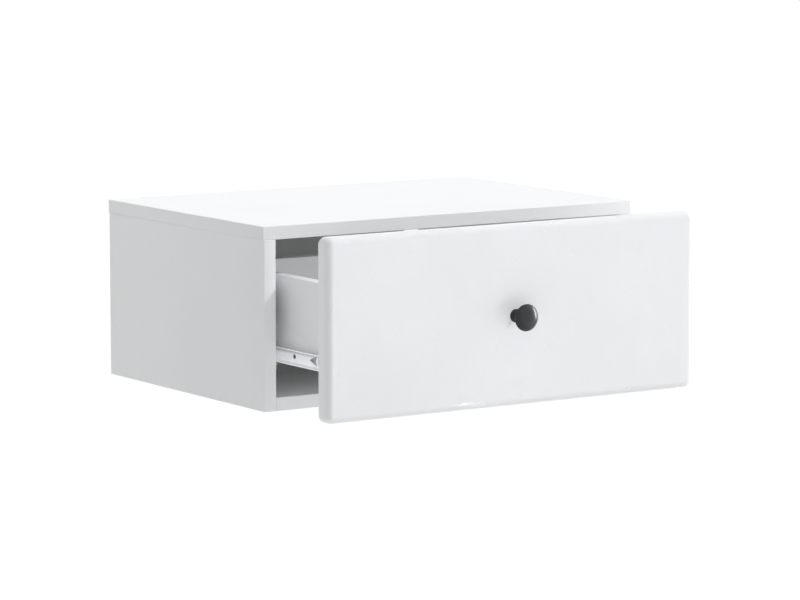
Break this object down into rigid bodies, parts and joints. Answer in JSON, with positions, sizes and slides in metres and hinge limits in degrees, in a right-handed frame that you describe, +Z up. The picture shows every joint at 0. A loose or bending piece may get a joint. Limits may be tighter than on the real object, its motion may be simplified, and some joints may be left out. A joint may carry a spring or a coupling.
{
  "type": "floating nightstand",
  "caption": "Wall-hung bedside cabinet: a flat box with a wide top and one drawer on ball-bearing slides, its overlay front with rounded edges and a round knob.",
  "frame": {"origin": "middle of the back panel's wall face", "axes": "+X to the right for someone facing the drawer front, +Y into the wall, +Z up"},
  "size_m": [0.5, 0.4965, 0.205],
  "materials": {
    "white_board": "satin white melamine on particle board",
    "white_front": "satin white foil on fibreboard",
    "drawer_board": "matt white melamine on particle board",
    "hardboard": "white lacquered hardboard",
    "beech": "bare beech",
    "slide_steel": "bright zinc plate",
    "cage_steel": "plated strip with polished balls",
    "screw_steel": "zinc plated",
    "cam_zinc": "bare zinc casting",
    "dark_knob": "glossy dark grey plate on a metal casting"
  },
  "bodies": {
    "carcass": {"top_panel": "white_board", "bottom_panel": "white_board", "back_panel": "white_board", "left_side_panel": "white_board", "left_top_front_cam": "cam_zinc", "left_top_front_cam_bolt": "screw_steel", "left_top_rear_cam": "cam_zinc", "left_top_rear_cam_bolt": "screw_steel", "left_bottom_front_cam": "cam_zinc", "left_bottom_front_cam_bolt": "screw_steel", "left_bottom_rear_cam": "cam_zinc", "left_bottom_rear_cam_bolt": "screw_steel", "left_back_cam": "cam_zinc", "left_back_cam_bolt": "screw_steel", "left_top_dowel": "beech", "left_outer_rail": "slide_steel", "left_outer_rail_front_screw": "screw_steel", "left_outer_rail_rear_screw": "screw_steel", "right_side_panel": "white_board", "right_top_front_cam": "cam_zinc", "right_top_front_cam_bolt": "screw_steel", "right_top_rear_cam": "cam_zinc", "right_top_rear_cam_bolt": "screw_steel", "right_bottom_front_cam": "cam_zinc", "right_bottom_front_cam_bolt": "screw_steel", "right_bottom_rear_cam": "cam_zinc", "right_bottom_rear_cam_bolt": "screw_steel", "right_back_cam": "cam_zinc", "right_back_cam_bolt": "screw_steel", "right_top_dowel": "beech", "right_outer_rail": "slide_steel", "right_outer_rail_front_screw": "screw_steel", "right_outer_rail_rear_screw": "screw_steel"},
    "middle_rails": {"left_middle_rail": "slide_steel", "right_middle_rail": "slide_steel"},
    "drawer": {"drawer_front": "white_front", "drawer_back": "drawer_board", "drawer_bottom": "hardboard", "knob": "dark_knob", "knob_screw": "screw_steel", "left_inner_rail": "slide_steel", "left_inner_rail_front_screw": "screw_steel", "left_inner_rail_rear_screw": "screw_steel", "left_drawer_side": "drawer_board", "left_drawer_front_cam": "cam_zinc", "left_drawer_front_cam_bolt": "screw_steel", "left_drawer_back_lower_screw": "screw_steel", "left_drawer_back_upper_screw": "screw_steel", "right_inner_rail": "slide_steel", "right_inner_rail_front_screw": "screw_steel", "right_inner_rail_rear_screw": "screw_steel", "right_drawer_side": "drawer_board", "right_drawer_front_cam": "cam_zinc", "right_drawer_front_cam_bolt": "screw_steel", "right_drawer_back_lower_screw": "screw_steel", "right_drawer_back_upper_screw": "screw_steel"},
    "outer_cages": {"left_outer_ball_cage": "cage_steel", "right_outer_ball_cage": "cage_steel"},
    "inner_cages": {"left_inner_ball_cage": "cage_steel", "right_inner_ball_cage": "cage_steel"}
  },
  "joints": [
    {"name": "middle_slide", "type": "slide", "parent": "carcass", "child": "middle_rails", "axis": [0, -1, 0], "range_m": [0, 0.125]},
    {"name": "drawer_slide", "type": "slide", "parent": "middle_rails", "child": "drawer", "axis": [0, -1, 0], "range_m": [-0.1055, 0.019]},
    {"name": "outer_cage_roll", "type": "slide", "parent": "carcass", "child": "outer_cages", "axis": [0, -1, 0], "range_m": [0, 0.0625]},
    {"name": "inner_cage_roll", "type": "slide", "parent": "middle_rails", "child": "inner_cages", "axis": [0, -1, 0], "range_m": [-0.05275, 0.0095]}
  ],
  "couplings": [
    {"joint": "outer_cage_roll", "follows": "middle_slide", "ratio": 0.5},
    {"joint": "inner_cage_roll", "follows": "drawer_slide", "ratio": 0.5}
  ]
}
